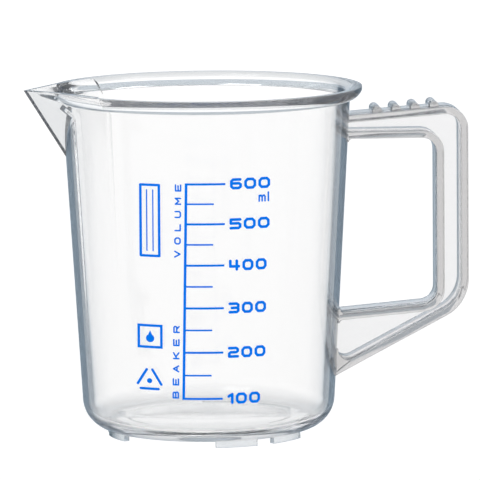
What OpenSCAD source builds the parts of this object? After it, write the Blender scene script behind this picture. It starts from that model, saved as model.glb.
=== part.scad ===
// Graduated pouring beaker with an open handle, moulded in clear polypropylene and printed in blue.
// Frame: the origin is on the vessel's axis at the level of the table, +Z is up, +X points to the
// handle, the spout points to -X and the printed scale faces -Y.

/* [Vessel] */
// Height of the rim above the table
height = 125; // [105:0.5:160]
// Outer diameter of the side wall at the level of the table, where its taper would end
body_low_d = 89; // [75:0.2:120]
// Outer diameter of the side wall at the height of the rim, where its taper would end
body_top_d = 103.4; // [92:0.2:130]
// Thickness of the side wall
wall_t = 2.2; // [1.2:0.1:3]
// Thickness of the floor
floor_t = 2.2; // [1.2:0.1:3]
// Height of the inside floor above the underside
floor_rise = 3.9; // [3:0.1:6]
// Radius of the outer heel
heel_r = 11.2; // [6:0.1:14]
// Radius between the inside floor and the wall
floor_fillet_r = 6.3; // [3:0.1:9]
// Distance of the underside's recess from the start of the heel
recess_margin = 4.5; // [3:0.5:10]
// Slope of the recess's edge, in degrees
recess_slope = 60; // [20:1:60]

/* [Rim] */
// How far the lip stands out from the wall
lip_out = 4.1; // [2.5:0.1:6]
// Height of the lip, from its root on the wall to the top
lip_h = 5; // [4:0.1:8]
// Height of the upright outer face of the lip
lip_land_h = 1.5; // [0.8:0.1:2.5]
// Width of the flat top of the lip
lip_top_w = 0.9; // [0.5:0.1:1.5]
// Depth of the rounding inside the lip
lip_flare_h = 2.4; // [1.5:0.1:3.5]
// Radius of the rounding under the lip
lip_under_r = 6; // [4:0.1:10]

/* [Spout] */
// How far the tip of the spout stands out beyond the lip
spout_out = 9.3; // [5:0.1:14]
// Depth of the spout's ridge below the rim
spout_depth = 24.6; // [15:0.1:35]
// Half of the angle round the rim that the spout takes up
spout_half_angle = 18.5; // [12:0.5:25]
// Thickness of the spout's walls
spout_t = 1.6; // [1:0.1:2.4]
// How much lower the tip is than the rim
spout_drop = 0.6; // [0:0.1:2]

/* [Handle] */
// How far the back of the handle stands out from the wall's top diameter
handle_out = 41.7; // [34:0.1:55]
// Width of both rails across the handle
handle_w = 15.6; // [10:0.2:20]
// Thickness of the rails
rail_t = 2.7; // [2:0.1:3.5]
// Thickness of the web between the rails
web_t = 2.4; // [1.6:0.1:3.5]
// Distance between the backs of the outer and the inner rail
rail_gap = 8.7; // [6:0.1:12]
// Depth of the outer rail's root below the rim
outer_root_drop = 10.5; // [9:0.1:16]
// Rise of the outer rail's top arm, in degrees
outer_arm_rise = 4.2; // [0:0.1:8]
// Depth of the inner rail's top below the rim
inner_top_drop = 16.4; // [14:0.1:24]
// Height of the inner rail's lower root above the table
inner_root_z = 40.6; // [34:0.1:50]
// Rise of the inner rail's bottom arm, in degrees
inner_arm_rise = 4.9; // [0:0.1:10]
// Height of the brace's root above the table
brace_root_z = 20.8; // [16:0.1:30]
// Height above the table at which the brace's line meets the back
brace_back_z = 45.8; // [38:0.1:52]
// Outer radius of the top corner of the outer rail
outer_top_r = 8; // [5:0.1:12]
// Outer radius between the back and the brace
outer_low_r = 15; // [8:0.1:18]
// Outer radius of the inner rail's corners
inner_r = 8; // [4:0.1:10]
// Radius between the brace and the wall
brace_fillet_r = 3.5; // [2:0.1:5]
// Radius between the inner rail and the wall
root_fillet_r = 1.2; // [0.6:0.1:2]

/* [Grip ribs] */
// Radius of a rib
rib_r = 1.7; // [1:0.1:2.4]
// Height of a rib's centre above the arm
rib_lift = 0.5; // [0:0.1:1]
// Distance between ribs
rib_pitch = 6.8; // [5:0.1:7.5]
// Distance from the wall to the first rib
rib_first = 9.7; // [6:0.1:11]

/* [Feet] */
// Height of the lugs, which is the gap under the base
lug_h = 2; // [1.5:0.1:4]
// Outer radius of the ring that the lugs lie on, past the start of the heel
lug_out = 2.35; // [1:0.05:3]
// Thickness of a lug
lug_t = 2.2; // [1.4:0.1:3]
// Angle between the two lugs of a pair
lug_gap_angle = 11; // [6:0.5:20]
// Angle that one lug covers
lug_angle = 24.5; // [15:0.5:35]

/* [Print] */
// Thickness of the ink
ink_t = 0.12; // [0.08:0.01:0.2]
// Height of the lowest mark above the inside floor
first_mark_rise = 13.2; // [10:0.1:30]
// Place of the scale's upright line across the front
spine_x = -11.1; // [-14:0.1:-8]
// Sideways drift of the print from its top mark to its lowest mark
print_drift = 1.3; // [0:0.1:2]
// Width of the upright line
spine_w = 0.95; // [0.5:0.05:1.5]
// Length of a mark at a full hundred
major_l = 13.2; // [9:0.1:15]
// Thickness of a mark at a full hundred
major_t = 0.75; // [0.4:0.05:1]
// Length of a mark at a half hundred
minor_l = 9.2; // [5:0.1:11]
// Thickness of a mark at a half hundred
minor_t = 0.6; // [0.3:0.05:0.9]
// Height of a numeral
numeral_h = 4; // [3:0.1:5]
// Width of a numeral in the two top numbers
numeral_w = 4.3; // [3:0.1:5]
// Width of a numeral in the numbers below them
low_numeral_w = 4; // [3:0.1:5]
// Stroke of a numeral
numeral_pen = 1; // [0.6:0.05:1.2]
// Space between numerals
numeral_gap = 0.75; // [0.4:0.05:1.2]
// Space between a long mark and its number
numeral_offset = 1.6; // [1:0.1:3]
// Drop of the unit's foot below the foot of the top number
unit_drop = 4.8; // [3.5:0.1:7]
// Height of a caption's letters
caption_h = 2.3; // [1.6:0.1:3]
// Width of a caption's letters
caption_w = 2.6; // [1.6:0.1:3]
// Stroke of a caption's letters
caption_pen = 0.55; // [0.3:0.05:0.7]
// Distance between the letters of a caption
caption_pitch = 4.7; // [3.5:0.1:5]
// Space between the captions and the upright line
caption_offset = 1.1; // [0.6:0.1:2]
// Width of the write-on panel
panel_w = 7.2; // [5:0.1:9]
// Space between the captions and the panel
panel_offset = 4.6; // [3:0.1:7]
// Stroke of the panel and the symbols
symbol_pen = 0.9; // [0.5:0.05:1.1]
// Width of a symbol
symbol_w = 8.6; // [6:0.1:10]
// Space between the captions and the symbols
symbol_offset = 3.6; // [2:0.1:6]
// Height of the drop's middle above the lowest mark
drop_rise = 22; // [16:0.5:30]
// Height of the triad's middle above the lowest mark
triad_rise = 6; // [4:0.5:8]

/* [Hidden] */
$fn = 96;

// The side wall tapers evenly, so its radius follows from the height above the table.
taper = (body_top_d - body_low_d) / 2 / height;
function wall_r(z) = body_low_d / 2 + taper * z;
function inner_r_at(z) = wall_r(z) - wall_t;
taper_angle = atan(taper);

// Levels, from the table up
floor_z = lug_h + floor_rise;
heel_z = lug_h + heel_r;
lip_root_z = height - lip_h;
recess_h = floor_rise - floor_t;

// The centre radius of a fillet that touches a level below and the tapered line of radius r_at beside it
function fillet_centre_r(r_at, z, r) = r_at + taper * (z + r) - r / cos(taper_angle);
heel_centre_r = fillet_centre_r(body_low_d / 2, lug_h, heel_r);
floor_centre_r = fillet_centre_r(body_low_d / 2 - wall_t, floor_z, floor_fillet_r);
recess_r = heel_centre_r - recess_margin;
recess_top_r = recess_r - recess_h / tan(recess_slope);
lip_r = wall_r(height) + lip_out;

// The spout's ridge runs from its root on the wall to the tip, and its two walls end on the lip.
spout_root = [-wall_r(height - spout_depth), height - spout_depth];
spout_tip = [-(lip_r + spout_out), height - spout_drop];
spout_mouth = lip_r * [-cos(spout_half_angle), sin(spout_half_angle)];
ridge_tilt = atan2(spout_root.x - spout_tip.x, spout_tip.y - spout_root.y);
mouth_depth = [spout_mouth.x - spout_root.x, spout_depth] * [cos(ridge_tilt), sin(ridge_tilt)];
spout_v_angle = atan2(spout_mouth.y, mouth_depth);
spout_top_slope = atan2(spout_drop, spout_mouth.x - spout_tip.x);
spout_skirt = 11;
spout_reserve = 40;

// Handle outlines: open lines that start inside the wall at the top, turn clockwise and end inside
// the wall at the bottom. Each is a list of corners, with a list of the corners' radii.
function unit(v) = v / norm(v);
function along(a) = [cos(a), sin(a)];
root_sink = 8;
arc_step = 6;
handle_x = body_top_d / 2 + handle_out;
inner_x = handle_x - rail_gap;
outer_root = [wall_r(height - outer_root_drop), height - outer_root_drop];
inner_root = [wall_r(inner_root_z), inner_root_z];
brace_root = [wall_r(brace_root_z), brace_root_z];
brace_rise = atan2(brace_back_z - brace_root_z, handle_x - brace_root.x);
inner_top_z = height - inner_top_drop;

// The point at x on the line of slope a through p, and where that line meets the wall
function on_line(p, a, x) = [x, p.y + (x - p.x) * tan(a)];
function wall_point(p, a) =
    let (z = (p.y + (wall_r(0) - p.x) * tan(a)) / (1 - taper * tan(a))) [wall_r(z), z];
// The point p moved to the right of a line of slope a, by t
function right_of(p, a, t) = p + t * [sin(a), -cos(a)];

arm_in = right_of(outer_root, outer_arm_rise, rail_t);
brace_in = right_of(brace_root, brace_rise, -rail_t);
brace_corner = wall_point(brace_in, brace_rise);
grip_low_in = right_of(inner_root, inner_arm_rise, -rail_t);
sunk = [-root_sink, 0];

outer_line = [on_line(outer_root, outer_arm_rise, outer_root.x - root_sink),
    on_line(outer_root, outer_arm_rise, handle_x), on_line(brace_root, brace_rise, handle_x),
    on_line(brace_root, brace_rise, brace_root.x - root_sink)];
outer_radii = [outer_top_r, outer_low_r];
outer_line_in = [on_line(arm_in, outer_arm_rise, outer_root.x - root_sink),
    on_line(arm_in, outer_arm_rise, handle_x - rail_t), on_line(brace_in, brace_rise, handle_x - rail_t),
    brace_corner, brace_corner + 2 * brace_fillet_r * unit([taper, 1])];
outer_radii_in = [outer_top_r - rail_t, outer_low_r - rail_t, brace_fillet_r];

inner_line = [[outer_root.x - root_sink, inner_top_z], [inner_x, inner_top_z],
    on_line(inner_root, inner_arm_rise, inner_x), inner_root,
    inner_root - 2 * root_fillet_r * unit([taper, 1])];
inner_radii = [inner_r, inner_r, root_fillet_r];
hole_top = wall_point([0, inner_top_z - rail_t], 0);
hole_low = wall_point(grip_low_in, inner_arm_rise);
inner_line_in = [hole_top - 2 * root_fillet_r * unit([taper, 1]), hole_top, [inner_x - rail_t, hole_top.y],
    on_line(grip_low_in, inner_arm_rise, inner_x - rail_t), hole_low,
    hole_low + 2 * root_fillet_r * unit([taper, 1])];
inner_radii_in = [root_fillet_r, inner_r - rail_t, inner_r - rail_t, root_fillet_r];

// The rounding of radius r between a corner q and its neighbours
function rounding(before, q, after, r) =
    let (d1 = unit(q - before), d2 = unit(after - q), turn = acos(d1 * d2),
         side = sign(cross(d1, d2)), steps = ceil(turn / arc_step),
         centre = q + unit(d2 - d1) * r / cos(turn / 2), from = q - d1 * r * tan(turn / 2) - centre)
    [for (k = [0:steps]) centre + r * along(atan2(from.y, from.x) + side * turn * k / steps)];
// A line's points between its first and its last, with every corner rounded
function rounded(p, r) = [for (i = [1:len(r)]) each rounding(p[i - 1], p[i], p[i + 1], r[i - 1])];
function reversed(p) = [for (i = [len(p) - 1:-1:0]) p[i]];
function last(p) = p[len(p) - 1];

outer_path = [outer_line[0], each rounded(outer_line, outer_radii), last(outer_line)];
outer_path_in = let (p = rounded(outer_line_in, outer_radii_in)) [outer_line_in[0], each p, last(p) + sunk];
inner_path = let (p = rounded(inner_line, inner_radii)) [inner_line[0], each p, last(p) + sunk];
inner_path_in = let (p = rounded(inner_line_in, inner_radii_in)) [p[0] + sunk, each p, last(p) + sunk];

// Marks stand where the tapered inside holds their volume, counted from the lowest mark.
low_volume = 100;
top_volume = 600;
volume_step = 50;
mm3_per_ml = 1000;
low_mark_z = floor_z + first_mark_rise;
function mark_z(ml) =
    let (r = inner_r_at(low_mark_z))
    (pow(pow(r, 3) + 3 * taper * (ml - low_volume) * mm3_per_ml / PI, 1 / 3) - r) / taper + low_mark_z;
top_mark_z = mark_z(top_volume);
function drift(z) = print_drift * ((z - low_mark_z) / (top_mark_z - low_mark_z) - 0.5);

caption_x = spine_x - spine_w / 2 - caption_offset;
panel_x = caption_x - caption_h - panel_offset;
symbol_x = caption_x - caption_h - symbol_offset - symbol_w / 2;

major_volumes = [100, 200, 300, 400, 500, 600];
minor_volumes = [150, 250, 350, 450, 550];

// Pen lines of each character in a cell one wide and one high
narrow_one = 0.42;
loop_0 = [[0.22, 0], [0.78, 0], [1, 0.25], [1, 0.75], [0.78, 1], [0.22, 1], [0, 0.75], [0, 0.25],
    [0.22, 0]];
function pen_lines(c) =
    c == "0" || c == "O" ? [loop_0] :
    c == "1" ? [[[0, 0.75], [narrow_one, 1], [narrow_one, 0]]] :
    c == "2" ? [[[0, 1], [0.82, 1], [1, 0.85], [1, 0.62], [0.82, 0.5],
                 [0.18, 0.5], [0, 0.35], [0, 0], [1, 0]]] :
    c == "3" ? [[[0, 1], [0.82, 1], [1, 0.85], [1, 0.62], [0.85, 0.5], [0.25, 0.5]],
                [[0.85, 0.5], [1, 0.38], [1, 0.15], [0.82, 0], [0, 0]]] :
    c == "4" ? [[[0, 1], [0, 0.35], [1, 0.35]], [[0.76, 1], [0.76, 0]]] :
    c == "5" ? [[[1, 1], [0, 1], [0, 0.55], [0.82, 0.55], [1, 0.4], [1, 0.15], [0.82, 0], [0, 0]]] :
    c == "6" ? [[[0.95, 1], [0.2, 1], [0, 0.8], [0, 0.2], [0.2, 0],
                 [0.8, 0], [1, 0.17], [1, 0.4], [0.82, 0.55], [0, 0.55]]] :
    c == "m" ? [[[0, 0], [0, 1]], [[0, 0.7], [0.2, 1], [0.35, 1], [0.5, 0.75], [0.5, 0]],
                [[0.5, 0.75], [0.7, 1], [0.85, 1], [1, 0.75], [1, 0]]] :
    c == "l" ? [[[0, 0], [0, 1.5]]] :
    c == "V" ? [[[0, 1], [0.5, 0], [1, 1]]] :
    c == "L" ? [[[0, 1], [0, 0], [1, 0]]] :
    c == "U" ? [[[0, 1], [0, 0.2], [0.2, 0], [0.8, 0], [1, 0.2], [1, 1]]] :
    c == "M" ? [[[0, 0], [0, 1], [0.5, 0.35], [1, 1], [1, 0]]] :
    c == "E" ? [[[1, 1], [0, 1], [0, 0], [1, 0]], [[0, 0.5], [0.85, 0.5]]] :
    c == "B" ? [[[0, 0], [0, 1], [0.8, 1], [0.95, 0.87], [0.95, 0.65], [0.8, 0.52], [0, 0.52]],
                [[0.8, 0.52], [1, 0.38], [1, 0.14], [0.84, 0], [0, 0]]] :
    c == "A" ? [[[0, 0], [0.5, 1], [1, 0]], [[0.2, 0.32], [0.8, 0.32]]] :
    c == "K" ? [[[0, 0], [0, 1]], [[1, 1], [0, 0.4]], [[0.3, 0.58], [1, 0]]] :
    c == "R" ? [[[0, 0], [0, 1], [0.84, 1], [1, 0.86], [1, 0.6], [0.84, 0.46], [0, 0.46]],
                [[0.55, 0.46], [1, 0]]] :
    [];

plastic = [0.84, 0.88, 0.91, 0.55];
handle_plastic = [0.85, 0.86, 0.87, 0.7];
ink = [0.02, 0.41, 0.87];

// ---- Vessel ----

// Half of the vessel's section, filled from the axis to a tapered line with a rounded foot
module filled_half(r_low, z_low, centre_r, fillet_r, z_top) {
    touch = [centre_r, z_low + fillet_r] + fillet_r * [cos(taper_angle), -sin(taper_angle)];
    polygon([[0, z_low], [centre_r, z_low], touch, [r_low + taper * z_top, z_top], [0, z_top]]);
    intersection() {
        translate([centre_r, z_low + fillet_r]) circle(fillet_r);
        translate([0, z_low]) square([touch.x, touch.y - z_low]);
    }
}

module outer_half() {
    filled_half(body_low_d / 2, lug_h, heel_centre_r, heel_r, lip_root_z);
}

module inner_half() {
    filled_half(body_low_d / 2 - wall_t, floor_z, floor_centre_r, floor_fillet_r, height);
}

module solid_vessel() {
    rotate_extrude() outer_half();
}

// The spout's space is a V-shaped prism along the ridge; shift moves its ridge inwards.
module spout_prism(shift) {
    depth = mouth_depth + spout_skirt;
    half_w = (depth - shift) * tan(spout_v_angle);
    translate([spout_root.x, 0, spout_root.y])
        rotate([0, -ridge_tilt, 0])
            translate([0, 0, -spout_reserve])
                linear_extrude(height = 2 * spout_reserve + spout_depth)
                    polygon([[shift, 0], [depth, -half_w], [depth, half_w]]);
}

module spout_channel() {
    spout_prism(spout_t / sin(spout_v_angle));
}

// Everything above the spout's top edge, which falls a little towards the tip
module above_spout() {
    block = 2 * spout_reserve;
    translate([spout_mouth.x, 0, height])
        rotate([0, -spout_top_slope, 0]) translate([-block, -block / 2, 0]) cube([2 * block, block, block]);
    translate([-2 * block, -block / 2, height]) cube([4 * block, block, block]);
}

module vessel_wall() {
    color(plastic) difference() {
        rotate_extrude() difference() {
            outer_half();
            inner_half();
            square([body_top_d, heel_z]);
        }
        spout_channel();
    }
}

module vessel_base() {
    color(plastic) rotate_extrude() difference() {
        intersection() {
            outer_half();
            square([body_top_d, heel_z]);
        }
        inner_half();
        polygon([[0, 0], [recess_r, 0], [recess_r, lug_h], [recess_top_r, lug_h + recess_h],
                 [0, lug_h + recess_h]]);
    }
}

// The lip's section: rounded over inside, with a narrow flat top, an upright face and a rounding under it
module lip_half() {
    root = [wall_r(lip_root_z), lip_root_z];
    edge = [lip_r, height - lip_land_h];
    half_chord = norm(edge - root) / 2;
    chord = unit(edge - root);
    under_centre = (root + edge) / 2 + [-chord.y, chord.x] * sqrt(pow(lip_under_r, 2) - pow(half_chord, 2));
    flare = [inner_r_at(height - lip_flare_h), height - lip_flare_h];
    flare_w = lip_r - lip_top_w - flare.x;
    flare_line = [for (a = [90:-arc_step:0]) flare + [flare_w * (1 - cos(a)), lip_flare_h * sin(a)]];
    polygon([[inner_r_at(lip_root_z), lip_root_z], root, edge, [lip_r, height], each flare_line]);
    intersection() {
        translate(under_centre) circle(lip_under_r);
        polygon([root, [edge.x, root.y], edge]);
    }
}

module rim_lip() {
    color(plastic) difference() {
        rotate_extrude() lip_half();
        spout_prism(0);
    }
}

module pouring_spout() {
    color(plastic) difference() {
        spout_prism(0);
        spout_channel();
        above_spout();
        solid_vessel();
        translate([0, 0, lip_root_z - 1])
            cylinder(r1 = inner_r_at(lip_root_z - 1), r2 = inner_r_at(height + 1), h = lip_h + 2);
    }
}

// ---- Handle ----

// A flat shape in the handle's plane, w wide across it, ending on the wall
module handle_piece(w) {
    difference() {
        rotate([90, 0, 0]) linear_extrude(height = w, center = true) children();
        solid_vessel();
    }
}

module handle_outer_rail() {
    color(handle_plastic) handle_piece(handle_w) polygon(concat(outer_path, reversed(outer_path_in)));
}

module handle_inner_rail() {
    color(handle_plastic) handle_piece(handle_w) polygon(concat(inner_path, reversed(inner_path_in)));
}

module handle_web() {
    color(handle_plastic) handle_piece(web_t) polygon(concat(outer_path_in, reversed(inner_path)));
}

module grip_rib(i) {
    centre = on_line(outer_root, outer_arm_rise, outer_root.x + rib_first + (i - 1) * rib_pitch);
    color(handle_plastic) rotate([90, 0, 0]) linear_extrude(height = handle_w, center = true)
        difference() {
            translate(centre + [0, rib_lift]) circle(rib_r);
            polygon(outer_path);
        }
}

// ---- Feet ----

// Three pairs of lugs: one pair under the spout, one on each side of the handle
module foot_lug(i) {
    pair_angle = 60 + 120 * floor((i - 1) / 2);
    side = i % 2 == 1 ? -1 : 1;
    first = pair_angle + side * (lug_gap_angle + lug_angle) / 2 - lug_angle / 2;
    lug_r = heel_centre_r + lug_out;
    lug_top_z = lug_h + heel_r / 4;
    color(plastic) rotate([0, 0, first]) rotate_extrude(angle = lug_angle) difference() {
        translate([lug_r - lug_t, 0]) square([lug_t, heel_z]);
        outer_half();
        translate([0, lug_top_z]) square([body_top_d, heel_z]);
    }
}

// ---- Print ----

// A film of ink on the front of the wall, in the shape of its children as seen from the front
module printed() {
    color(ink) intersection() {
        rotate([90, 0, 0]) linear_extrude(height = body_top_d) children();
        difference() {
            cylinder(r1 = wall_r(0) + ink_t, r2 = wall_r(lip_root_z) + ink_t, h = lip_root_z);
            cylinder(r1 = wall_r(0), r2 = wall_r(lip_root_z), h = lip_root_z);
        }
    }
}

module pen_stroke(a, b, pen) {
    translate(a) rotate(atan2(b.y - a.y, b.x - a.x)) translate([0, -pen / 2]) square([norm(b - a), pen]);
    translate(a) circle(d = pen);
    translate(b) circle(d = pen);
}

module pen_path(points, pen) {
    for (i = [0:len(points) - 2]) pen_stroke(points[i], points[i + 1], pen);
}

// One character, w wide and h high outside its strokes, with its lower left corner at the origin
module character(c, w, h, pen) {
    for (line = pen_lines(c))
        pen_path([for (q = line) [pen / 2 + q.x * (w - pen), pen / 2 + q.y * (h - pen)]], pen);
}

function cell_w(c, w) = c == "1" ? numeral_pen + narrow_one * (w - numeral_pen) : w;

module scale_spine() {
    printed() polygon([
        for (side = [-0.5, 0.5]) each [
            for (z = side < 0 ? [low_mark_z - major_t / 2, top_mark_z + major_t / 2]
                              : [top_mark_z + major_t / 2, low_mark_z - major_t / 2])
                [spine_x + side * spine_w + drift(z), z]
        ]
    ]);
}

// A mark that starts on the upright line's right edge
module mark_2d(ml, l, t) {
    z = mark_z(ml);
    edge = spine_x + spine_w / 2;
    polygon([[edge + drift(z - t / 2), z - t / 2], [edge + l, z - t / 2], [edge + l, z + t / 2],
             [edge + drift(z + t / 2), z + t / 2]]);
}

module major_marks() {
    printed() for (ml = major_volumes) mark_2d(ml, major_l + drift(mark_z(ml)), major_t);
}

module minor_marks() {
    printed() for (ml = minor_volumes) mark_2d(ml, minor_l + drift(mark_z(ml)), minor_t);
}

module numeral(ml) {
    z = mark_z(ml);
    w = ml < 500 ? low_numeral_w : numeral_w;
    first = str(ml / 100);
    left = spine_x + spine_w / 2 + major_l + numeral_offset + drift(z);
    printed() {
        translate([left, z - numeral_h / 2]) character(first, w, numeral_h, numeral_pen);
        for (i = [0, 1])
            translate([left + cell_w(first, w) + numeral_gap + i * (w + numeral_gap), z - numeral_h / 2])
                character("0", w, numeral_h, numeral_pen);
    }
}

// The unit stands under the right end of the top number.
module unit_mark() {
    letter_w = 2.7;
    letter_h = 2.6;
    pen = 0.6;
    left = spine_x + spine_w / 2 + major_l + numeral_offset + 2 * (numeral_w + numeral_gap)
        + drift(top_mark_z);
    base_z = top_mark_z - numeral_h / 2 - unit_drop;
    printed() {
        translate([left, base_z]) character("m", letter_w, letter_h, pen);
        translate([left + letter_w + pen, base_z]) character("l", pen, letter_h, pen);
    }
}

function caption_l(word) = (len(word) - 1) * caption_pitch + caption_w;

// A caption that reads upwards beside the scale, starting at height z
module caption(word, z) {
    printed() for (i = [0:len(word) - 1])
        translate([caption_x + drift(z + i * caption_pitch), z + i * caption_pitch])
            rotate(90) character(word[i], caption_w, caption_h, caption_pen);
}

module volume_caption() {
    caption("VOLUME", top_mark_z - caption_l("VOLUME"));
}

module beaker_caption() {
    caption("BEAKER", low_mark_z);
}

// A tall frame with ruled lines to write on, as long as the caption beside it
module write_on_panel() {
    panel_h = caption_l("VOLUME");
    low = top_mark_z - panel_h;
    half = (panel_w - symbol_pen) / 2;
    top = panel_h - symbol_pen;
    frame = [[-half, 0], [half, 0], [half, top], [-half, top], [-half, 0]];
    printed() translate([panel_x + drift(low) - panel_w / 2, low + symbol_pen / 2]) {
        pen_path(frame, symbol_pen);
        for (x = [-half / 3, half / 3])
            pen_path([[x, 2 * symbol_pen], [x, top - 2 * symbol_pen]], symbol_pen / 2);
    }
}

// A square frame round a plain drop
module drop_symbol() {
    drop_r = symbol_w / 6;
    shoulder = 0.85 * drop_r;
    z = low_mark_z + drop_rise;
    printed() translate([symbol_x + drift(z), z]) {
        difference() {
            square(symbol_w, center = true);
            square(symbol_w - 2 * symbol_pen, center = true);
        }
        translate([0, -drop_r / 2]) {
            circle(drop_r);
            polygon([[0, 2 * drop_r], [-shoulder, 0], [shoulder, 0]]);
        }
    }
}

// Three bars in a triangle round a dot
module triad_symbol() {
    z = low_mark_z + triad_rise;
    side = 0.7 * symbol_w;
    printed() translate([symbol_x + drift(z), z]) {
        for (a = [0, 120, 240]) rotate(a)
            translate([0, -symbol_w / 3]) pen_path([[-side / 2, 0], [side / 2, 0]], symbol_pen);
        circle(symbol_pen);
    }
}

vessel_wall();
vessel_base();
rim_lip();
pouring_spout();
handle_outer_rail();
handle_inner_rail();
handle_web();
for (i = [1:4]) grip_rib(i);
for (i = [1:6]) foot_lug(i);
scale_spine();
major_marks();
minor_marks();
for (ml = major_volumes) numeral(ml);
unit_mark();
volume_caption();
beaker_caption();
write_on_panel();
drop_symbol();
triad_symbol();
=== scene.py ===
import math

import bmesh
import bpy
from mathutils import Matrix, Vector


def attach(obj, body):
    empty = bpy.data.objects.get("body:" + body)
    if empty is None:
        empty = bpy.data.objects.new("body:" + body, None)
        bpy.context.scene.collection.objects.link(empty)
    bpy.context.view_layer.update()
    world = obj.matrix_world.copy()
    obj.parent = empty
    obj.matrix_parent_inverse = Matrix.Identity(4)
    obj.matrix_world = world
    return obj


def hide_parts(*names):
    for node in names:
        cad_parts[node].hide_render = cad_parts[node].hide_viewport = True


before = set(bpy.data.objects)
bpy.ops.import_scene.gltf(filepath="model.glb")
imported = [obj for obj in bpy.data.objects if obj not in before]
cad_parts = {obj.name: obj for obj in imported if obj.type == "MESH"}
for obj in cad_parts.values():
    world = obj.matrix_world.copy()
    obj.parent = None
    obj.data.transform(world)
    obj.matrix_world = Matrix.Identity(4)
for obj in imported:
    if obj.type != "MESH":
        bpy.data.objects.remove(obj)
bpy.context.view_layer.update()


# ---- Studio ----
# A white paper cove that runs from the floor up all round the set, under a grey-blue ceiling.
# The paper glows evenly, as back-lit paper does.

def collect(name, mesh):
    piece = bpy.data.objects.new(name, mesh)
    bpy.context.scene.collection.objects.link(piece)
    return piece


def mesh_of(name, points, faces):
    mesh = bpy.data.meshes.new(name)
    mesh.from_pydata([tuple(p) for p in points], [], faces)
    mesh.validate()
    return mesh


cove_radius = 3.4
cove_bend = 0.6
cove_height = 1.3
cove_steps = 10
cove_sides = 72

cove_line = [(0.0, 0.0), (cove_radius - cove_bend, 0.0)]
for step in range(1, cove_steps + 1):
    bend_angle = math.pi / 2 * step / cove_steps
    cove_line.append((cove_radius - cove_bend + cove_bend * math.sin(bend_angle),
                      cove_bend - cove_bend * math.cos(bend_angle)))
cove_line.append((cove_radius, cove_height))
cove_turns = [2 * math.pi * side / cove_sides for side in range(cove_sides)]
cove_points = [(r * math.cos(cove_turn), r * math.sin(cove_turn), z)
               for r, z in cove_line[1:] for cove_turn in cove_turns]
cove_faces = [tuple(range(cove_sides))]
for row in range(len(cove_line) - 2):
    for side in range(cove_sides):
        ahead = (side + 1) % cove_sides
        cove_faces.append((row * cove_sides + side, row * cove_sides + ahead,
                           (row + 1) * cove_sides + ahead, (row + 1) * cove_sides + side))
paper_cove = collect("paper_cove", mesh_of("paper_cove", cove_points, cove_faces))
for face in paper_cove.data.polygons:
    face.use_smooth = True

paper = bpy.data.materials.new("white_paper")
paper.use_nodes = True
paper_bsdf = paper.node_tree.nodes["Principled BSDF"]
paper_bsdf.inputs["Base Color"].default_value = (0.2, 0.2, 0.2, 1)
paper_bsdf.inputs["Roughness"].default_value = 1.0
paper_bsdf.inputs["Specular IOR Level"].default_value = 0.0
# Faces of the plastic mirror this paper as grey-blue, while it is white to the eye and through the plastic.
# Real paper has one shade: this is a lighting device, which keeps the edges of the plastic dark.
# A Mix node's colour sockets share their names with its other sockets, so they go by number.
mix_first, mix_second, mix_result = 6, 7, 2
paper_path = paper.node_tree.nodes.new("ShaderNodeLightPath")
paper_glow = paper.node_tree.nodes.new("ShaderNodeMix")
paper_glow.data_type = "RGBA"
paper_glow.inputs[mix_first].default_value = (1, 1, 1, 1)
paper_glow.inputs[mix_second].default_value = (0.26, 0.33, 0.40, 1)
mirrored = paper.node_tree.nodes.new("ShaderNodeMath")
mirrored.operation = "SUBTRACT"
mirrored.use_clamp = True
paper.node_tree.links.new(paper_path.outputs["Is Glossy Ray"], mirrored.inputs[0])
paper.node_tree.links.new(paper_path.outputs["Is Transmission Ray"], mirrored.inputs[1])
paper.node_tree.links.new(mirrored.outputs["Value"], paper_glow.inputs["Factor"])
paper.node_tree.links.new(paper_glow.outputs[mix_result], paper_bsdf.inputs["Emission Color"])
paper_bsdf.inputs["Emission Strength"].default_value = 1.07
paper_cove.data.materials.append(paper)

world = bpy.data.worlds.new("ceiling")
world.use_nodes = True
world.node_tree.nodes["Background"].inputs["Color"].default_value = (0.62, 0.68, 0.73, 1)
world.node_tree.nodes["Background"].inputs["Strength"].default_value = 1.0
bpy.context.scene.world = world
bpy.context.scene.view_settings.view_transform = "Standard"
# Light runs along inside a clear wall by many inner reflections before it comes out.
bpy.context.scene.cycles.max_bounces = 40
bpy.context.scene.cycles.glossy_bounces = 32
bpy.context.scene.cycles.transmission_bounces = 32


def softbox(name, place, aim, size, power):
    light = bpy.data.lights.new(name, "AREA")
    light.shape = "RECTANGLE"
    light.size, light.size_y = size
    light.energy = power
    lamp = bpy.data.objects.new(name, light)
    bpy.context.scene.collection.objects.link(lamp)
    lamp.location = place
    lamp.rotation_euler = (Vector(aim) - Vector(place)).to_track_quat("-Z", "Y").to_euler()


softbox("key_softbox", (-0.9, -1.2, 1.5), (0, 0, 0.06), (0.9, 0.9), 6)
softbox("fill_softbox", (1.3, -0.6, 1.3), (0, 0, 0.06), (0.8, 0.8), 3)

camera_place = Vector((-0.1311, -1.9907, 0.3288))
camera_aim = Vector((0.0117, -0.0008, 0.0694))
camera_roll = math.radians(0.5)
ahead = (camera_aim - camera_place).normalized()
level = ahead.cross(Vector((0, 0, 1))).normalized()
upright = level.cross(ahead)
camera_right = level * math.cos(camera_roll) - upright * math.sin(camera_roll)
camera_up = upright * math.cos(camera_roll) + level * math.sin(camera_roll)
lens = bpy.data.cameras.new("camera")
lens.lens = 421
lens.sensor_width = 36
lens.clip_start = 0.05
lens.clip_end = 20
camera = bpy.data.objects.new("camera", lens)
bpy.context.scene.collection.objects.link(camera)
camera.matrix_world = Matrix((camera_right, camera_up, -ahead)).transposed().to_4x4()
camera.location = camera_place
bpy.context.scene.camera = camera


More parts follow.
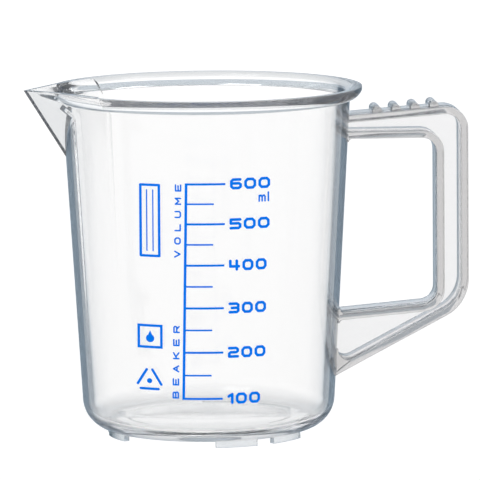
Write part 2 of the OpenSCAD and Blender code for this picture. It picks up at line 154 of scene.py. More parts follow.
# ---- Bowl ----
# The vessel with its floor, flared lip and pouring spout: one injection moulding in clear
# polypropylene. Its section is turned about the axis, and the spout is worked into it.

mm = 0.001
height = 125 * mm
low_radius = 44.5 * mm
low_diameter = 89
top_diameter = 103.4
taper = (top_diameter - low_diameter) / 2 / 125
taper_angle = math.atan(taper)
wall_thickness = 2.2 * mm
foot_gap = 2 * mm
floor_level = 5.9 * mm
heel_radius = 11.2 * mm
floor_fillet = 6.3 * mm
lip_radius = 55.8 * mm
lip_drop = 5 * mm
lip_land = 1.5 * mm
lip_top = 0.9 * mm
lip_flare = 2.4 * mm
lip_under = 6 * mm
lip_edge_round = 0.3 * mm
base_recess = 1.7 * mm
recess_margin = 4.5 * mm
recess_round = 1.2 * mm
recess_slope = math.radians(60)
bowl_segments = 256
arc_step = 6
under_steps = 12


def outside(z):
    return low_radius + taper * z


def arc(centre, radius, start, end, steps):
    return [(centre[0] + radius * math.cos(math.radians(start + (end - start) * k / steps)),
             centre[1] + radius * math.sin(math.radians(start + (end - start) * k / steps)))
            for k in range(steps + 1)]


def rounded(corners, radii, step=math.radians(arc_step)):
    """The line through the corners, with each inner corner rounded to its radius."""
    line = [Vector(corners[0])]
    for before, corner, after, radius in zip(corners, corners[1:], corners[2:], radii):
        before, corner, after = Vector(before), Vector(corner), Vector(after)
        come, go = (corner - before).normalized(), (after - corner).normalized()
        turn = math.acos(max(-1, min(1, come.dot(go))))
        if radius == 0:
            line.append(corner)
            continue
        side = math.copysign(1, come.x * go.y - come.y * go.x)
        centre = corner + (go - come).normalized() * radius / math.cos(turn / 2)
        spoke = corner - come * radius * math.tan(turn / 2) - centre
        steps = math.ceil(turn / step)
        for k in range(steps + 1):
            angle = side * turn * k / steps
            line.append(centre + Vector((spoke.x * math.cos(angle) - spoke.y * math.sin(angle),
                                         spoke.x * math.sin(angle) + spoke.y * math.cos(angle))))
    line.append(Vector(corners[-1]))
    return line


heel_centre = outside(foot_gap + heel_radius) - heel_radius / math.cos(taper_angle)
recess_edge = heel_centre - recess_margin
lip_root = Vector((outside(height - lip_drop), height - lip_drop))
lip_edge = Vector((lip_radius, height - lip_land))
chord = lip_edge - lip_root
reach = math.sqrt(lip_under ** 2 - chord.length_squared / 4)
under_centre = (lip_root + lip_edge) / 2 + Vector((-chord.y, chord.x)).normalized() * reach
under_start = math.degrees(math.atan2(lip_edge.y - under_centre.y, lip_edge.x - under_centre.x))
under_end = math.degrees(math.atan2(lip_root.y - under_centre.y, lip_root.x - under_centre.x))

flare_start = Vector((outside(height - lip_flare) - wall_thickness, height - lip_flare))
flare_width = lip_radius - lip_top - flare_start.x
flare_line = [flare_start + Vector((flare_width * (1 - math.cos(math.radians(a))),
                                    lip_flare * math.sin(math.radians(a)))) for a in range(0, 90, arc_step)]
inside_line = rounded(
    [(0, floor_level), (low_radius - wall_thickness + taper * floor_level, floor_level), flare_start],
    [floor_fillet])[:-1] + flare_line + rounded(
    [(lip_radius - lip_top, height), (lip_radius, height), lip_edge], [lip_edge_round])
recess_top = foot_gap + base_recess
outside_line = rounded(
    [lip_root, (outside(foot_gap), foot_gap), (recess_edge, foot_gap),
     (recess_edge - base_recess / math.tan(recess_slope), recess_top), (0, recess_top)],
    [heel_radius, lip_edge_round, recess_round])
under_line = arc(under_centre, lip_under, under_start, under_end, under_steps)
bowl_line = inside_line[:-1] + [Vector(p) for p in under_line] + outside_line[1:]

bowl_edges = [(i, i + 1) for i in range(len(bowl_line) - 1)]
profile = bpy.data.meshes.new("bowl_profile")
profile.from_pydata([(p.x, 0, p.y) for p in bowl_line], bowl_edges, [])
bowl = collect("bowl", profile)


def wire(tree, source, socket, target, name):
    tree.links.new(source.outputs[socket], target.inputs[name])


def math_node(tree, operation, first, second):
    """A Math node; each operand is a number or a (node, socket) pair."""
    node = tree.nodes.new("ShaderNodeMath")
    node.operation = operation
    for slot, operand in enumerate((first, second)):
        if isinstance(operand, tuple):
            tree.links.new(operand[0].outputs[operand[1]], node.inputs[slot])
        else:
            node.inputs[slot].default_value = operand
    return node


def socket_id(tree, name):
    return next(item.identifier for item in tree.interface.items_tree
                if item.item_type == "SOCKET" and item.in_out == "INPUT" and item.name == name)


def geometry_tree(name, inputs):
    """A Geometry Nodes tree with a geometry input and output and the inputs asked for."""
    tree = bpy.data.node_groups.new(name, "GeometryNodeTree")
    tree.interface.new_socket("Geometry", in_out="INPUT", socket_type="NodeSocketGeometry")
    for socket, kind in inputs:
        tree.interface.new_socket(socket, in_out="INPUT", socket_type=kind)
    tree.interface.new_socket("Geometry", in_out="OUTPUT", socket_type="NodeSocketGeometry")
    return tree, tree.nodes.new("NodeGroupInput"), tree.nodes.new("NodeGroupOutput")


def finish_tree(tree, last, socket, given, result):
    """Ends a tree in Realize Instances and Set Material."""
    realize = tree.nodes.new("GeometryNodeRealizeInstances")
    paint = tree.nodes.new("GeometryNodeSetMaterial")
    wire(tree, last, socket, realize, "Geometry")
    wire(tree, realize, "Geometry", paint, "Geometry")
    wire(tree, given, "Material", paint, "Material")
    wire(tree, paint, "Geometry", result, "Geometry")


turning, given, result = geometry_tree("turned_section", [
    ("Segments", "NodeSocketInt"), ("Material", "NodeSocketMaterial")])
size = turning.nodes.new("GeometryNodeAttributeDomainSize")
wire(turning, given, "Geometry", size, "Geometry")
around = math_node(turning, "ADD", (given, "Segments"), 1.0)
grid = turning.nodes.new("GeometryNodeMeshGrid")
wire(turning, size, "Point Count", grid, "Vertices X")
wire(turning, around, "Value", grid, "Vertices Y")
index = turning.nodes.new("GeometryNodeInputIndex")
middle = math_node(turning, "ADD", (index, "Index"), 0.5)
row_share = math_node(turning, "DIVIDE", (middle, "Value"), (around, "Value"))
row = math_node(turning, "FLOOR", (row_share, "Value"), 0.0)
column = math_node(turning, "MODULO", (index, "Index"), (around, "Value"))
position = turning.nodes.new("GeometryNodeInputPosition")
sample = turning.nodes.new("GeometryNodeSampleIndex")
sample.data_type = "FLOAT_VECTOR"
wire(turning, given, "Geometry", sample, "Geometry")
wire(turning, position, "Position", sample, "Value")
wire(turning, row, "Value", sample, "Index")
part_turn = math_node(turning, "DIVIDE", (column, "Value"), (given, "Segments"))
angle = math_node(turning, "MULTIPLY", (part_turn, "Value"), 2 * math.pi)
turn = turning.nodes.new("ShaderNodeVectorRotate")
turn.rotation_type = "Z_AXIS"
wire(turning, sample, "Value", turn, "Vector")
wire(turning, angle, "Value", turn, "Angle")
place = turning.nodes.new("GeometryNodeSetPosition")
wire(turning, grid, "Mesh", place, "Geometry")
wire(turning, turn, "Vector", place, "Position")
merge = turning.nodes.new("GeometryNodeMergeByDistance")
merge.inputs["Distance"].default_value = 1e-6
wire(turning, place, "Geometry", merge, "Geometry")
finish_tree(turning, merge, "Geometry", given, result)


# The look of a smooth moulded face: broad flow waves, fine haze in the gloss and a few hairlines.
moulded = bpy.data.node_groups.new("moulded_face", "ShaderNodeTree")
for socket, kind in (("Vector", "NodeSocketVector"), ("Gloss", "NodeSocketFloat"),
                     ("Haze", "NodeSocketFloat"), ("Wave Size", "NodeSocketFloat"),
                     ("Wave Depth", "NodeSocketFloat")):
    moulded.interface.new_socket(socket, in_out="INPUT", socket_type=kind)
moulded.interface.new_socket("Roughness", in_out="OUTPUT", socket_type="NodeSocketFloat")
moulded.interface.new_socket("Normal", in_out="OUTPUT", socket_type="NodeSocketVector")
face_in = moulded.nodes.new("NodeGroupInput")
face_out = moulded.nodes.new("NodeGroupOutput")
waves = moulded.nodes.new("ShaderNodeTexNoise")
waves.inputs["Detail"].default_value = 1.0
wire(moulded, face_in, "Vector", waves, "Vector")
wire(moulded, face_in, "Wave Size", waves, "Scale")
haze = moulded.nodes.new("ShaderNodeTexNoise")
haze.inputs["Scale"].default_value = 900
haze.inputs["Detail"].default_value = 4.0
wire(moulded, face_in, "Vector", haze, "Vector")
scratch_stretch = moulded.nodes.new("ShaderNodeMapping")
scratch_stretch.inputs["Scale"].default_value = (4, 4, 60)
wire(moulded, face_in, "Vector", scratch_stretch, "Vector")
scratches = moulded.nodes.new("ShaderNodeTexVoronoi")
scratches.feature = "DISTANCE_TO_EDGE"
scratches.inputs["Scale"].default_value = 16
wire(moulded, scratch_stretch, "Vector", scratches, "Vector")
hairline = math_node(moulded, "LESS_THAN", (scratches, "Distance"), 0.006)
hairline_gloss = math_node(moulded, "MULTIPLY", (hairline, "Value"), 0.06)
haze_gloss = math_node(moulded, "MULTIPLY", (haze, "Fac"), (face_in, "Haze"))
rough = math_node(moulded, "ADD", (haze_gloss, "Value"), (face_in, "Gloss"))
rough = math_node(moulded, "ADD", (rough, "Value"), (hairline_gloss, "Value"))
wire(moulded, rough, "Value", face_out, "Roughness")
relief = moulded.nodes.new("ShaderNodeBump")
relief.inputs["Distance"].default_value = 0.001
wire(moulded, face_in, "Wave Depth", relief, "Strength")
wire(moulded, waves, "Fac", relief, "Height")
wire(moulded, relief, "Normal", face_out, "Normal")


def clear_plastic(name, body, painted_level_shade, painted_edge_shades, gloss, haze_depth, waves_in, absorb, density, clearness):
    """Clear moulded plastic with painted shade: its colour darkens to grey-blue where an upright outer face
    is seen edge on, and is darker on level outer faces.
    """
    material = bpy.data.materials.new(name)
    material.use_nodes = True
    tree = material.node_tree
    bsdf = tree.nodes["Principled BSDF"]
    bsdf.inputs["IOR"].default_value = 1.49
    bsdf.inputs["Transmission Weight"].default_value = clearness
    place = tree.nodes.new("ShaderNodeTexCoord")
    face = tree.nodes.new("ShaderNodeGroup")
    face.node_tree = moulded
    wire(tree, place, "Object", face, "Vector")
    face.inputs["Gloss"].default_value = gloss
    face.inputs["Haze"].default_value = haze_depth
    face.inputs["Wave Size"].default_value = waves_in[0]
    face.inputs["Wave Depth"].default_value = waves_in[1]
    wire(tree, face, "Roughness", bsdf, "Roughness")
    wire(tree, face, "Normal", bsdf, "Normal")
    # Painted shade: the Facing ramp turns an upright outer face grey-blue, down to near black, where it is
    # seen edge on.
    slant = tree.nodes.new("ShaderNodeLayerWeight")
    slant.inputs["Blend"].default_value = 0.5
    edge_shade_ramp = tree.nodes.new("ShaderNodeValToRGB")
    edge_shade_ramp.color_ramp.elements[0].position = painted_edge_shades[0][0]
    edge_shade_ramp.color_ramp.elements[0].color = (*painted_edge_shades[0][1], 1)
    edge_shade_ramp.color_ramp.elements[1].position = painted_edge_shades[-1][0]
    edge_shade_ramp.color_ramp.elements[1].color = (*painted_edge_shades[-1][1], 1)
    for position, shade in painted_edge_shades[1:-1]:
        edge_shade_ramp.color_ramp.elements.new(position).color = (*shade, 1)
    wire(tree, slant, "Facing", edge_shade_ramp, "Fac")
    # Painted shade: level outer faces take the darker level colour, upright ones the edge ramp, inner faces
    # the plain body colour.
    lean = tree.nodes.new("ShaderNodeSeparateXYZ")
    wire(tree, place, "Normal", lean, "Vector")
    lean_squared = math_node(tree, "MULTIPLY", (lean, "Z"), (lean, "Z"))
    upright_share = math_node(tree, "SUBTRACT", 1.0, (lean_squared, "Value"))
    where = tree.nodes.new("ShaderNodeNewGeometry")
    outer_side = math_node(tree, "SUBTRACT", 1.0, (where, "Backfacing"))
    shade_mix = tree.nodes.new("ShaderNodeMix")
    shade_mix.data_type = "RGBA"
    outer_mix = tree.nodes.new("ShaderNodeMix")
    outer_mix.data_type = "RGBA"
    tree.links.new(upright_share.outputs["Value"], shade_mix.inputs["Factor"])
    tree.links.new(edge_shade_ramp.outputs["Color"], shade_mix.inputs[mix_second])
    shade_mix.inputs[mix_first].default_value = (*painted_level_shade, 1)
    tree.links.new(shade_mix.outputs[mix_result], outer_mix.inputs[mix_second])
    tree.links.new(outer_side.outputs["Value"], outer_mix.inputs["Factor"])
    outer_mix.inputs[mix_first].default_value = (*body, 1)
    tree.links.new(outer_mix.outputs[mix_result], bsdf.inputs["Base Color"])
    inner = tree.nodes.new("ShaderNodeVolumeAbsorption")
    inner.inputs["Color"].default_value = (*absorb, 1)
    inner.inputs["Density"].default_value = density
    tree.links.new(inner.outputs["Volume"], tree.nodes["Material Output"].inputs["Volume"])
    return material


# Painted shade: the bowl's ramp runs to near black where an upright face is seen edge on, and level outer
# faces are painted mid grey.
bowl_plastic = clear_plastic(
    "clear_polypropylene", (0.99, 0.985, 0.98), (0.58, 0.59, 0.60),
    [(0.40, (0.99, 0.99, 0.99)), (0.57, (0.88, 0.885, 0.89)), (0.64, (0.72, 0.75, 0.78)),
     (0.68, (0.46, 0.52, 0.57)), (0.71, (0.03, 0.05, 0.075))],
    0.02, 0.03, (14, 0.12), (0.90, 0.90, 0.905), 50, 0.98)


def turn_modifier(piece, tree, values):
    """Puts a Geometry Nodes tree on a piece, with values for its named inputs."""
    modifier = piece.modifiers.new(tree.name, "NODES")
    modifier.node_group = tree
    for name, value in values.items():
        modifier[socket_id(tree, name)] = value
    return modifier


def apply_all(piece):
    """Leaves the result of a piece's modifiers as its plain mesh."""
    graph = bpy.context.evaluated_depsgraph_get()
    mesh = bpy.data.meshes.new_from_object(piece.evaluated_get(graph))
    piece.modifiers.clear()
    piece.data = mesh
    mesh.name = piece.name


def face_outwards(mesh):
    shape = bmesh.new()
    shape.from_mesh(mesh)
    bmesh.ops.remove_doubles(shape, verts=shape.verts, dist=1e-7)
    bmesh.ops.recalc_face_normals(shape, faces=shape.faces)
    if shape.calc_volume(signed=True) < 0:
        bmesh.ops.reverse_faces(shape, faces=shape.faces)
    shape.to_mesh(mesh)
    shape.free()


slit_width = 0.001 * mm


def close_slits(mesh):
    """Welds an open edge to a corner that lies on it, where a cut has left the two apart."""
    shape = bmesh.new()
    shape.from_mesh(mesh)
    open_edges = [edge for edge in shape.edges if edge.is_boundary]
    open_corners = [corner for corner in shape.verts if corner.is_boundary]
    for edge in open_edges:
        start, end = edge.verts
        span = end.co - start.co
        for corner in open_corners:
            share = (corner.co - start.co).dot(span) / span.length_squared
            off = (start.co + share * span - corner.co).length
            if corner not in (start, end) and 0 < share < 1 and off < slit_width:
                bmesh.utils.edge_split(edge, start, share)
                break
    bmesh.ops.remove_doubles(shape, verts=[corner for corner in shape.verts if corner.is_boundary],
                             dist=slit_width)
    shape.to_mesh(mesh)
    shape.free()


def smooth_by_angle(mesh, degrees):
    mesh.shade_smooth()
    mesh.set_sharp_from_angle(angle=math.radians(degrees))


def cut_with(piece, tool, operation):
    modifier = piece.modifiers.new(tool.name, "BOOLEAN")
    modifier.operation = operation
    modifier.solver = "EXACT"
    modifier.object = tool


turn_modifier(bowl, turning, {"Segments": bowl_segments, "Material": bowl_plastic})
apply_all(bowl)
face_outwards(bowl.data)

spout_drop = 0.6 * mm
spout_depth = 24.6 * mm
spout_tip = Vector((-65.1 * mm, height - spout_drop))
spout_root = Vector((-outside(height - spout_depth), height - spout_depth))
spout_half_turn = math.radians(18.5)
bowl_sharp_angle = 28
spout_wall = 1.6 * mm
mouth = Vector((-lip_radius * math.cos(spout_half_turn), lip_radius * math.sin(spout_half_turn)))
ridge_tilt = math.atan2(spout_root.x - spout_tip.x, spout_tip.y - spout_root.y)
mouth_depth = (mouth.x - spout_root.x) * math.cos(ridge_tilt) + spout_depth * math.sin(ridge_tilt)
spout_v = math.atan2(mouth.y, mouth_depth)
spout_fall = math.atan2(spout_drop, mouth.x - spout_tip.x)


def spout_wedge(name, shift, depth):
    """A V-shaped prism along the spout's ridge, moved inwards by shift."""
    half = (depth - shift) * math.tan(spout_v)
    inward = Vector((math.cos(ridge_tilt), 0, math.sin(ridge_tilt)))
    ridge = Vector((-math.sin(ridge_tilt), 0, math.cos(ridge_tilt)))
    root = Vector((spout_root.x, 0, spout_root.y))
    points = [root + inward * u + Vector((0, v, 0)) + ridge * w
              for w in (-30 * mm, 60 * mm) for u, v in ((shift, 0), (depth, -half), (depth, half))]
    mesh = mesh_of(name, points, [(0, 1, 2), (5, 4, 3), (0, 3, 4, 1), (1, 4, 5, 2), (2, 5, 3, 0)])
    face_outwards(mesh)
    return collect(name, mesh)


def revolved(name, line, segments):
    """A closed solid turned from a line that starts and ends on the axis."""
    solid = collect(name, bpy.data.meshes.new(name))
    solid.data.from_pydata([(r, 0, z) for r, z in line], [(i, i + 1) for i in range(len(line) - 1)], [])
    turn_modifier(solid, turning, {"Segments": segments, "Material": bowl_plastic})
    apply_all(solid)
    face_outwards(solid.data)
    return solid


spout = spout_wedge("spout", 0, mouth_depth + 11 * mm)
shape = bmesh.new()
shape.from_mesh(spout.data)
for slope in (spout_fall, 0):
    bmesh.ops.bisect_plane(shape, geom=list(shape.verts) + list(shape.edges) + list(shape.faces),
                           plane_co=(mouth.x, 0, height), plane_no=(-math.sin(slope), 0, math.cos(slope)),
                           clear_outer=True)
    bmesh.ops.holes_fill(shape, edges=shape.edges)
shape.to_mesh(spout.data)
shape.free()
face_outwards(spout.data)
spout_back = wall_thickness - 0.03 * mm
core_low, core_top = 60 * mm, 140 * mm
lip_inside = revolved("lip_inside", [
    (0, core_low), (outside(core_low) - spout_back, core_low),
    (outside(core_top) - spout_back, core_top), (0, core_top)], bowl_segments)
cut_with(spout, lip_inside, "DIFFERENCE")
apply_all(spout)
channel = spout_wedge("channel", spout_wall / math.sin(spout_v), mouth_depth + 12 * mm)
cut_with(bowl, spout, "UNION")
cut_with(bowl, channel, "DIFFERENCE")
apply_all(bowl)
for tool in (spout, lip_inside, channel):
    bpy.data.objects.remove(tool)
close_slits(bowl.data)
face_outwards(bowl.data)
smooth_by_angle(bowl.data, bowl_sharp_angle)
bowl.data.materials.clear()
bowl.data.materials.append(bowl_plastic)
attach(bowl, "root")
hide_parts("vessel_wall", "vessel_base", "rim_lip", "pouring_spout")


# ---- Feet ----
# Six short lugs moulded on the underside in three pairs, which hold the base off the table.

lug_outside = heel_centre + 2.35 * mm
lug_thickness = 2.2 * mm
lug_angle = math.radians(24.5)
lug_gap = math.radians(11)
lug_joint = 0.05 * mm
lug_steps = 10


def heel_level(r):
    return foot_gap + heel_radius - math.sqrt(heel_radius ** 2 - max(0, r - heel_centre) ** 2)


lug_inside = lug_outside - lug_thickness
lug_section = [(lug_inside, 0), (lug_outside, 0), (lug_outside, heel_level(lug_outside) + lug_joint),
               (lug_inside, heel_level(lug_inside) + lug_joint)]
lug_points = []
lug_faces = [(3, 2, 1, 0)]
for step in range(lug_steps + 1):
    angle = lug_angle * (step / lug_steps - 0.5)
    lug_points += [(r * math.cos(angle), r * math.sin(angle), z) for r, z in lug_section]
for step in range(lug_steps):
    near, far = step * 4, (step + 1) * 4
    for corner in range(4):
        ahead = (corner + 1) % 4
        lug_faces.append((near + corner, near + ahead, far + ahead, far + corner))
lug_faces.append(tuple(lug_steps * 4 + corner for corner in range(4)))
lug_mesh = mesh_of("foot_lugs", lug_points, lug_faces)
face_outwards(lug_mesh)
foot_lugs = collect("foot_lugs", lug_mesh)

pairing, given, result = geometry_tree("paired_round_axis", [
    ("Pairs", "NodeSocketInt"), ("First Angle", "NodeSocketFloat"), ("Half Spread", "NodeSocketFloat"),
    ("Material", "NodeSocketMaterial")])
count = math_node(pairing, "MULTIPLY", (given, "Pairs"), 2.0)
axis_points = pairing.nodes.new("GeometryNodePoints")
wire(pairing, count, "Value", axis_points, "Count")
index = pairing.nodes.new("GeometryNodeInputIndex")
pair = math_node(pairing, "FLOOR", (math_node(pairing, "DIVIDE", (index, "Index"), 2.0), "Value"), 0.0)
side = math_node(pairing, "SUBTRACT", (math_node(pairing, "MULTIPLY", (math_node(
    pairing, "MODULO", (index, "Index"), 2.0), "Value"), 2.0), "Value"), 1.0)
share = math_node(pairing, "DIVIDE", 2 * math.pi, (given, "Pairs"))
middle = math_node(pairing, "MULTIPLY", (pair, "Value"), (share, "Value"))
middle = math_node(pairing, "ADD", (middle, "Value"), (given, "First Angle"))
offset = math_node(pairing, "MULTIPLY", (side, "Value"), (given, "Half Spread"))
angle = math_node(pairing, "ADD", (middle, "Value"), (offset, "Value"))
turned = pairing.nodes.new("ShaderNodeCombineXYZ")
wire(pairing, angle, "Value", turned, "Z")
lug_copies = pairing.nodes.new("GeometryNodeInstanceOnPoints")
wire(pairing, axis_points, "Points", lug_copies, "Points")
wire(pairing, given, "Geometry", lug_copies, "Instance")
wire(pairing, turned, "Vector", lug_copies, "Rotation")
finish_tree(pairing, lug_copies, "Instances", given, result)

# Rougher and greyer than the bowl, with painted shade: near black where an upright face is seen edge on,
# grey on level outer faces.
foot_plastic = clear_plastic(
    "rough_polypropylene_painted_shade", (0.86, 0.88, 0.90), (0.84, 0.86, 0.88),
    [(0.40, (0.86, 0.88, 0.90)), (0.64, (0.45, 0.50, 0.54)), (0.75, (0.03, 0.05, 0.06))],
    0.12, 0.10, (40, 0.2), (0.88, 0.9, 0.9), 70, 0.80)
turn_modifier(foot_lugs, pairing, {"Pairs": 3, "First Angle": math.pi / 3,
                                   "Half Spread": (lug_gap + lug_angle) / 2, "Material": foot_plastic})
apply_all(foot_lugs)
smooth_by_angle(foot_lugs.data, bowl_sharp_angle)
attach(foot_lugs, "root")
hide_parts(*[f"foot_lug_{n}" for n in range(1, 7)])


# ---- Handle ----
# An outer and an inner rail joined by a thin web: the same moulding as the bowl, but thicker, so
# it looks milky and warm. Its ends run a hair into the wall, so that no gap shows between them.

handle_back = outside(height) + 41.7 * mm
rail = 2.7 * mm
rail_spacing = 8.7 * mm
handle_half = 7.8 * mm
web_half = 1.2 * mm
rail_edge = 0.4 * mm
wall_joint = 0.05 * mm
arm_rise = math.radians(4.2)
low_rise = math.radians(4.9)
back_low_round = 15 * mm
corner_round = 8 * mm
arm_root_drop = 10.5 * mm
inner_top_drop = 16.4 * mm
low_root_height = 40.6 * mm
brace_root_height = 20.8 * mm
brace_back_height = 45.8 * mm
handle_sharp_angle = 32
brace_fillet = 3.5 * mm
root_fillet = 1.2 * mm
sink = 8 * mm


def at_x(through, slope, x):
    return Vector((x, through.y + (x - through.x) * math.tan(slope)))


def shifted(through, slope, t):
    return through + t * Vector((math.sin(slope), -math.cos(slope)))


def wall_meeting(through, slope):
    z = (through.y + (low_radius - through.x) * math.tan(slope)) / (1 - taper * math.tan(slope))
    return Vector((outside(z), z))


arm_root = Vector((outside(height - arm_root_drop), height - arm_root_drop))
low_root = Vector((outside(low_root_height), low_root_height))
brace_root = Vector((outside(brace_root_height), brace_root_height))
brace_rise = math.atan2(brace_back_height - brace_root.y, handle_back - brace_root.x)
inner_top = height - inner_top_drop
inner_back = handle_back - rail_spacing
up_wall = Vector((taper, 1)).normalized()


def outer_rail_line(t, fillet):
    """The outer rail's outline moved inwards by t; with a fillet it turns up the wall."""
    arm = shifted(arm_root, arm_rise, t)
    brace = shifted(brace_root, brace_rise, -t)
    corners = [at_x(arm, arm_rise, arm_root.x - sink), at_x(arm, arm_rise, handle_back - t),
               at_x(brace, brace_rise, handle_back - t)]
    radii = [corner_round - t, back_low_round - t]
    if fillet:
        foot = wall_meeting(brace, brace_rise)
        line = rounded(corners + [foot, foot + 2 * fillet * up_wall], radii + [fillet])
        return line[:-1] + [line[-2] - Vector((sink, 0))]
    return rounded(corners + [at_x(brace, brace_rise, brace_root.x - sink)], radii)


def inner_rail_line(t, fillet):
    """The inner rail's outline moved inwards by t; with a fillet it turns down the wall."""
    low = shifted(low_root, low_rise, -t)
    foot = wall_meeting(low, low_rise)
    line = rounded([(arm_root.x - sink, inner_top - t), (inner_back - t, inner_top - t),
                    at_x(low, low_rise, inner_back - t), foot, foot - 2 * fillet * up_wall],
                   [corner_round - t, corner_round - t, fillet])
    return line[:-1] + [line[-2] - Vector((sink, 0))]


def hole_line(t, fillet):
    """The finger hole's outline, t inside the inner rail's back, with a fillet at both ends."""
    low = shifted(low_root, low_rise, -t)
    top = wall_meeting(Vector((0, inner_top - t)), 0)
    foot = wall_meeting(low, low_rise)
    line = rounded([top - 2 * fillet * up_wall, top, (inner_back - t, inner_top - t),
                    at_x(low, low_rise, inner_back - t), foot, foot + 2 * fillet * up_wall],
                   [fillet, corner_round - t, corner_round - t, fillet])
    return [line[1] - Vector((sink, 0))] + line[1:-1] + [line[-2] - Vector((sink, 0))]


def lofted(name, loops):
    """A closed solid through outlines of equal length, each a list of points at its own place across."""
    points = [(p.x, y, p.y) for y, loop in loops for p in loop]
    n = len(loops[0][1])
    faces = [tuple(range(n)), tuple(reversed(range(len(points) - n, len(points))))]
    for row in range(len(loops) - 1):
        for i in range(n):
            j = (i + 1) % n
            faces.append((row * n + i, (row + 1) * n + i, (row + 1) * n + j, row * n + j))
    mesh = mesh_of(name, points, faces)
    face_outwards(mesh)
    return collect(name, mesh)


def rail_loops(outline):
    """Outlines across a rail, drawn in at both faces so that its edges are rounded."""
    steps = 3
    loops = []
    for k in range(steps + 1):
        a = math.pi / 2 * k / steps
        loops.append((handle_half - rail_edge * (1 - math.sin(a)), outline(rail_edge * (1 - math.cos(a)))))
    return [(-y, line) for y, line in reversed(loops)] + loops


def outer_outline(edge):
    return outer_rail_line(edge, 0) + outer_rail_line(rail - edge, brace_fillet)[::-1]


def inner_outline(edge):
    return inner_rail_line(edge, root_fillet) + hole_line(rail - edge, root_fillet)[::-1]


handle = lofted("handle", rail_loops(outer_outline))
inner_rail = lofted("inner_rail", rail_loops(inner_outline))
web_outline = (outer_rail_line(rail / 2, brace_fillet + rail / 2)
               + inner_rail_line(rail / 2, root_fillet)[::-1])
web = lofted("web", [(-web_half, web_outline), (web_half, web_outline)])
wall_solid = revolved("wall_solid", [(0, 0), (outside(0) - wall_joint, 0),
                                     (outside(height) - wall_joint, height), (0, height)], bowl_segments)
cut_with(handle, web, "UNION")
cut_with(handle, inner_rail, "UNION")
cut_with(handle, wall_solid, "DIFFERENCE")
apply_all(handle)
for tool in (inner_rail, web, wall_solid):
    bpy.data.objects.remove(tool)
face_outwards(handle.data)
smooth_by_angle(handle.data, handle_sharp_angle)

# Painted shade: the ramp darkens the handle's upright faces to grey-blue where they are seen edge on; level
# outer faces are a little darker.
handle_plastic = clear_plastic(
    "milky_polypropylene", (0.98, 0.98, 0.985), (0.88, 0.90, 0.92),
    [(0.45, (0.98, 0.98, 0.985)), (0.80, (0.45, 0.52, 0.58)), (0.95, (0.30, 0.38, 0.45))],
    0.04, 0.05, (30, 0.1), (0.52, 0.50, 0.49), 68, 0.93)
handle.data.materials.clear()
handle.data.materials.append(handle_plastic)
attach(handle, "root")
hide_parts("handle_outer_rail", "handle_inner_rail", "handle_web")


# ---- Grip ribs ----
# Four round ribs across the top arm, so that a wet glove doesn't slip. They are part of the
# handle's moulding and are set at an even pitch along the arm.

rib_radius = 1.7 * mm
rib_lift = 0.5 * mm
rib_edge = 0.3 * mm
rib_edge_middle = 0.09 * mm
rib_steps = 28
rib_spacing = 6.8 * mm
rib_first = 9.7 * mm
rib_pitch = Vector((rib_spacing, 0, rib_spacing * math.tan(arm_rise)))
first_rib = at_x(arm_root, arm_rise, arm_root.x + rib_first) + Vector((0, rib_lift))

rib_chord = math.acos((rib_lift * math.cos(arm_rise) + wall_joint) / rib_radius)


def rib_outline(edge):
    radius = rib_radius - edge
    start = -math.pi / 2 + arm_rise + rib_chord
    sweep = 2 * math.pi - 2 * rib_chord
    angles = [start + sweep * k / rib_steps for k in range(rib_steps + 1)]
    return [first_rib + radius * Vector((math.cos(a), math.sin(a))) for a in angles]


grip_ribs = lofted("grip_ribs", [
    (-handle_half, rib_outline(rib_edge)),
    (-handle_half + rib_edge_middle, rib_outline(rib_edge_middle)),
    (-handle_half + rib_edge, rib_outline(0)), (handle_half - rib_edge, rib_outline(0)),
    (handle_half - rib_edge_middle, rib_outline(rib_edge_middle)),
    (handle_half, rib_outline(rib_edge))])

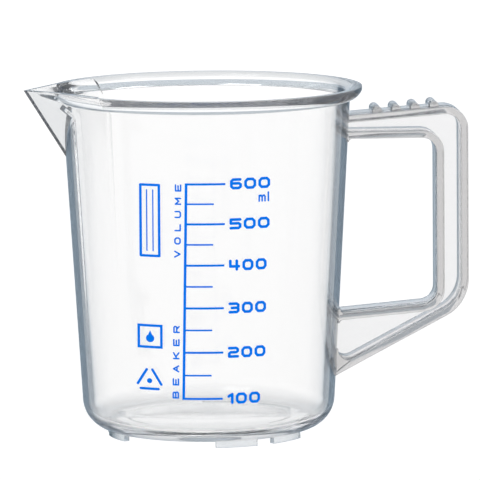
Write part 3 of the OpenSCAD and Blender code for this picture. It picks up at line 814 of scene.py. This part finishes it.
row_tree, given, result = geometry_tree("set_in_a_row", [
    ("Count", "NodeSocketInt"), ("Pitch", "NodeSocketVector"), ("Material", "NodeSocketMaterial")])
line = row_tree.nodes.new("GeometryNodeMeshLine")
wire(row_tree, given, "Count", line, "Count")
wire(row_tree, given, "Pitch", line, "Offset")
rib_copies = row_tree.nodes.new("GeometryNodeInstanceOnPoints")
wire(row_tree, line, "Mesh", rib_copies, "Points")
wire(row_tree, given, "Geometry", rib_copies, "Instance")
finish_tree(row_tree, rib_copies, "Instances", given, result)
turn_modifier(grip_ribs, row_tree, {"Count": 4, "Pitch": rib_pitch, "Material": handle_plastic})
apply_all(grip_ribs)
smooth_by_angle(grip_ribs.data, handle_sharp_angle)
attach(grip_ribs, "root")
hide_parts(*[f"grip_rib_{n}" for n in range(1, 5)])


# ---- Printed scale ----
# Marks, numbers, captions and symbols in one screen-printed film of blue ink on the front.
# The film is opaque and nearly matt, and a little uneven where the mesh let less ink through.

ink = bpy.data.materials.new("blue_screen_ink")
ink.use_nodes = True
ink_tree = ink.node_tree
ink_bsdf = ink_tree.nodes["Principled BSDF"]
ink_place = ink_tree.nodes.new("ShaderNodeTexCoord")
ink_cover = ink_tree.nodes.new("ShaderNodeTexNoise")
ink_cover.inputs["Scale"].default_value = 700
ink_cover.inputs["Detail"].default_value = 3
wire(ink_tree, ink_place, "Object", ink_cover, "Vector")
ink_colour = ink_tree.nodes.new("ShaderNodeValToRGB")
ink_colour.color_ramp.elements[0].position = 0.3
ink_colour.color_ramp.elements[0].color = (0.0005, 0.15, 0.71, 1)
ink_colour.color_ramp.elements[1].position = 0.7
ink_colour.color_ramp.elements[1].color = (0.0005, 0.175, 0.80, 1)
wire(ink_tree, ink_cover, "Fac", ink_colour, "Fac")
wire(ink_tree, ink_colour, "Color", ink_bsdf, "Base Color")
ink_bsdf.inputs["Specular IOR Level"].default_value = 0.02
ink_rough = ink_tree.nodes.new("ShaderNodeMapRange")
ink_rough.inputs["To Min"].default_value = 0.45
ink_rough.inputs["To Max"].default_value = 0.65
wire(ink_tree, ink_cover, "Fac", ink_rough, "Value")
wire(ink_tree, ink_rough, "Result", ink_bsdf, "Roughness")
ink_mesh = ink_tree.nodes.new("ShaderNodeBump")
ink_mesh.inputs["Strength"].default_value = 0.2
ink_mesh.inputs["Distance"].default_value = 0.00005
wire(ink_tree, ink_cover, "Fac", ink_mesh, "Height")
wire(ink_tree, ink_mesh, "Normal", ink_bsdf, "Normal")

printed = ["scale_spine", "major_marks", "minor_marks", "unit_mark", "volume_caption", "beaker_caption",
           "write_on_panel", "drop_symbol", "triad_symbol"] + [f"numeral_{n}00" for n in range(1, 7)]
for name in printed:
    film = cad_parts[name]
    film.data.materials.clear()
    film.data.materials.append(ink)
